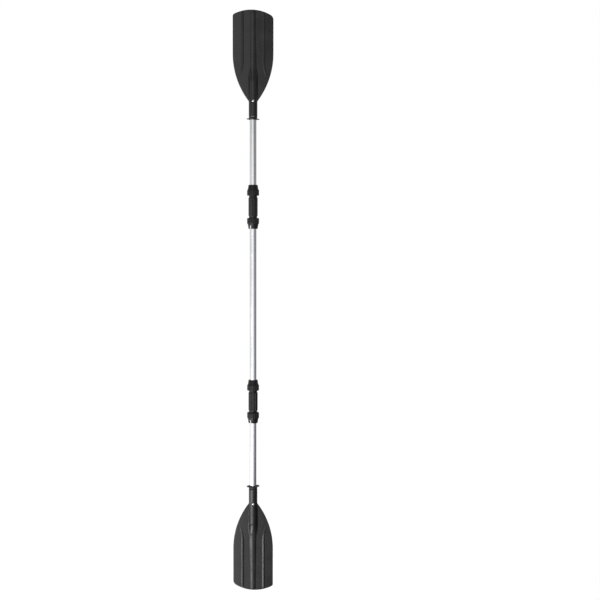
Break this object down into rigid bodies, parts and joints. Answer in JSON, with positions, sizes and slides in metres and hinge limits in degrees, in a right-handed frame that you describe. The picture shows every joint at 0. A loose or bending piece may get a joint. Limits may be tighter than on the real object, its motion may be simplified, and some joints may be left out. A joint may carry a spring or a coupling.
{
  "type": "kayak paddle",
  "caption": "Take-apart double-bladed kayak paddle: metal shaft tubes joined by screw connectors, ribbed plastic blades held by snap buttons, rubber drip rings.",
  "frame": {"origin": "middle of the shaft, on its axis, halfway between the two blade tips", "axes": "+Z along the shaft towards the upper blade, -Y out of the blades' front faces, where the snap buttons are, +X across the blades"},
  "size_m": [0.1686, 0.0544, 2.4398],
  "materials": {
    "tube": "satin anodised",
    "plug": "moulded",
    "grip": "fine moulded grain",
    "nut": "fine moulded grain",
    "collet": "natural nylon",
    "blade": "satin moulded grain",
    "ring": "matt",
    "button": "polished",
    "spring": "rolled strip"
  },
  "bodies": {
    "center_shaft": {"center_tube": "tube", "center_plug_upper": "plug", "center_plug_lower": "plug"},
    "connector_upper": {"connector_upper": "grip"},
    "collet_upper_high": {"collet_upper_high": "collet"},
    "nut_upper_high": {"nut_upper_high": "nut"},
    "collet_upper_low": {"collet_upper_low": "collet"},
    "nut_upper_low": {"nut_upper_low": "nut"},
    "shaft_upper": {"shaft_tube_upper": "tube", "shaft_plug_upper": "plug", "blade_upper": "blade", "button_spring_upper": "spring"},
    "drip_ring_upper": {"drip_ring_upper": "ring"},
    "snap_button_upper": {"snap_button_upper": "button"},
    "connector_lower": {"connector_lower": "grip"},
    "collet_lower_high": {"collet_lower_high": "collet"},
    "nut_lower_high": {"nut_lower_high": "nut"},
    "collet_lower_low": {"collet_lower_low": "collet"},
    "nut_lower_low": {"nut_lower_low": "nut"},
    "shaft_lower": {"shaft_tube_lower": "tube", "shaft_plug_lower": "plug", "blade_lower": "blade", "button_spring_lower": "spring"},
    "drip_ring_lower": {"drip_ring_lower": "ring"},
    "snap_button_lower": {"snap_button_lower": "button"}
  },
  "joints": [
    {"name": "feather_upper", "type": "hinge", "parent": "center_shaft", "child": "connector_upper", "pos_m": [0, 0, 0.409], "axis": [0, 0, 1], "continuous": true},
    {"name": "collet_upper_high_slide", "type": "slide", "parent": "connector_upper", "child": "collet_upper_high", "axis": [0, 0, 1], "range_m": [0, 0.0061]},
    {"name": "nut_upper_high_turn", "type": "hinge", "parent": "collet_upper_high", "child": "nut_upper_high", "pos_m": [0, 0, 0.468], "axis": [0, 0, 1], "range_deg": [0, 540]},
    {"name": "collet_upper_low_slide", "type": "slide", "parent": "connector_upper", "child": "collet_upper_low", "axis": [0, 0, -1], "range_m": [0, 0.0061]},
    {"name": "nut_upper_low_turn", "type": "hinge", "parent": "collet_upper_low", "child": "nut_upper_low", "pos_m": [0, 0, 0.35], "axis": [0, 0, -1], "range_deg": [0, 540]},
    {"name": "shaft_upper_slide", "type": "slide", "parent": "connector_upper", "child": "shaft_upper", "axis": [0, 0, 1], "range_m": [0, 0.06]},
    {"name": "drip_ring_upper_slide", "type": "slide", "parent": "shaft_upper", "child": "drip_ring_upper", "axis": [0, 0, -1], "range_m": [0, 0.21]},
    {"name": "snap_button_upper_press", "type": "slide", "parent": "shaft_upper", "child": "snap_button_upper", "axis": [0, 1, 0], "range_m": [0, 0.005], "stiffness_N_per_m": 600, "springref_m": -0.003, "deforming": ["button_spring_upper"]},
    {"name": "feather_lower", "type": "hinge", "parent": "center_shaft", "child": "connector_lower", "pos_m": [0, 0, -0.409], "axis": [0, 0, -1], "continuous": true},
    {"name": "collet_lower_high_slide", "type": "slide", "parent": "connector_lower", "child": "collet_lower_high", "axis": [0, 0, 1], "range_m": [0, 0.0061]},
    {"name": "nut_lower_high_turn", "type": "hinge", "parent": "collet_lower_high", "child": "nut_lower_high", "pos_m": [0, 0, -0.35], "axis": [0, 0, 1], "range_deg": [0, 540]},
    {"name": "collet_lower_low_slide", "type": "slide", "parent": "connector_lower", "child": "collet_lower_low", "axis": [0, 0, -1], "range_m": [0, 0.0061]},
    {"name": "nut_lower_low_turn", "type": "hinge", "parent": "collet_lower_low", "child": "nut_lower_low", "pos_m": [0, 0, -0.468], "axis": [0, 0, -1], "range_deg": [0, 540]},
    {"name": "shaft_lower_slide", "type": "slide", "parent": "connector_lower", "child": "shaft_lower", "axis": [0, 0, -1], "range_m": [0, 0.06]},
    {"name": "drip_ring_lower_slide", "type": "slide", "parent": "shaft_lower", "child": "drip_ring_lower", "axis": [0, 0, 1], "range_m": [0, 0.21]},
    {"name": "snap_button_lower_press", "type": "slide", "parent": "shaft_lower", "child": "snap_button_lower", "axis": [0, 1, 0], "range_m": [0, 0.005], "stiffness_N_per_m": 600, "springref_m": -0.003, "deforming": ["button_spring_lower"]}
  ],
  "couplings": [
    {"joint": "collet_upper_high_slide", "follows": "nut_upper_high_turn", "m_per_rad": 0.00063662},
    {"joint": "collet_upper_low_slide", "follows": "nut_upper_low_turn", "m_per_rad": 0.00063662},
    {"joint": "collet_lower_high_slide", "follows": "nut_lower_high_turn", "m_per_rad": 0.00063662},
    {"joint": "collet_lower_low_slide", "follows": "nut_lower_low_turn", "m_per_rad": 0.00063662}
  ]
}
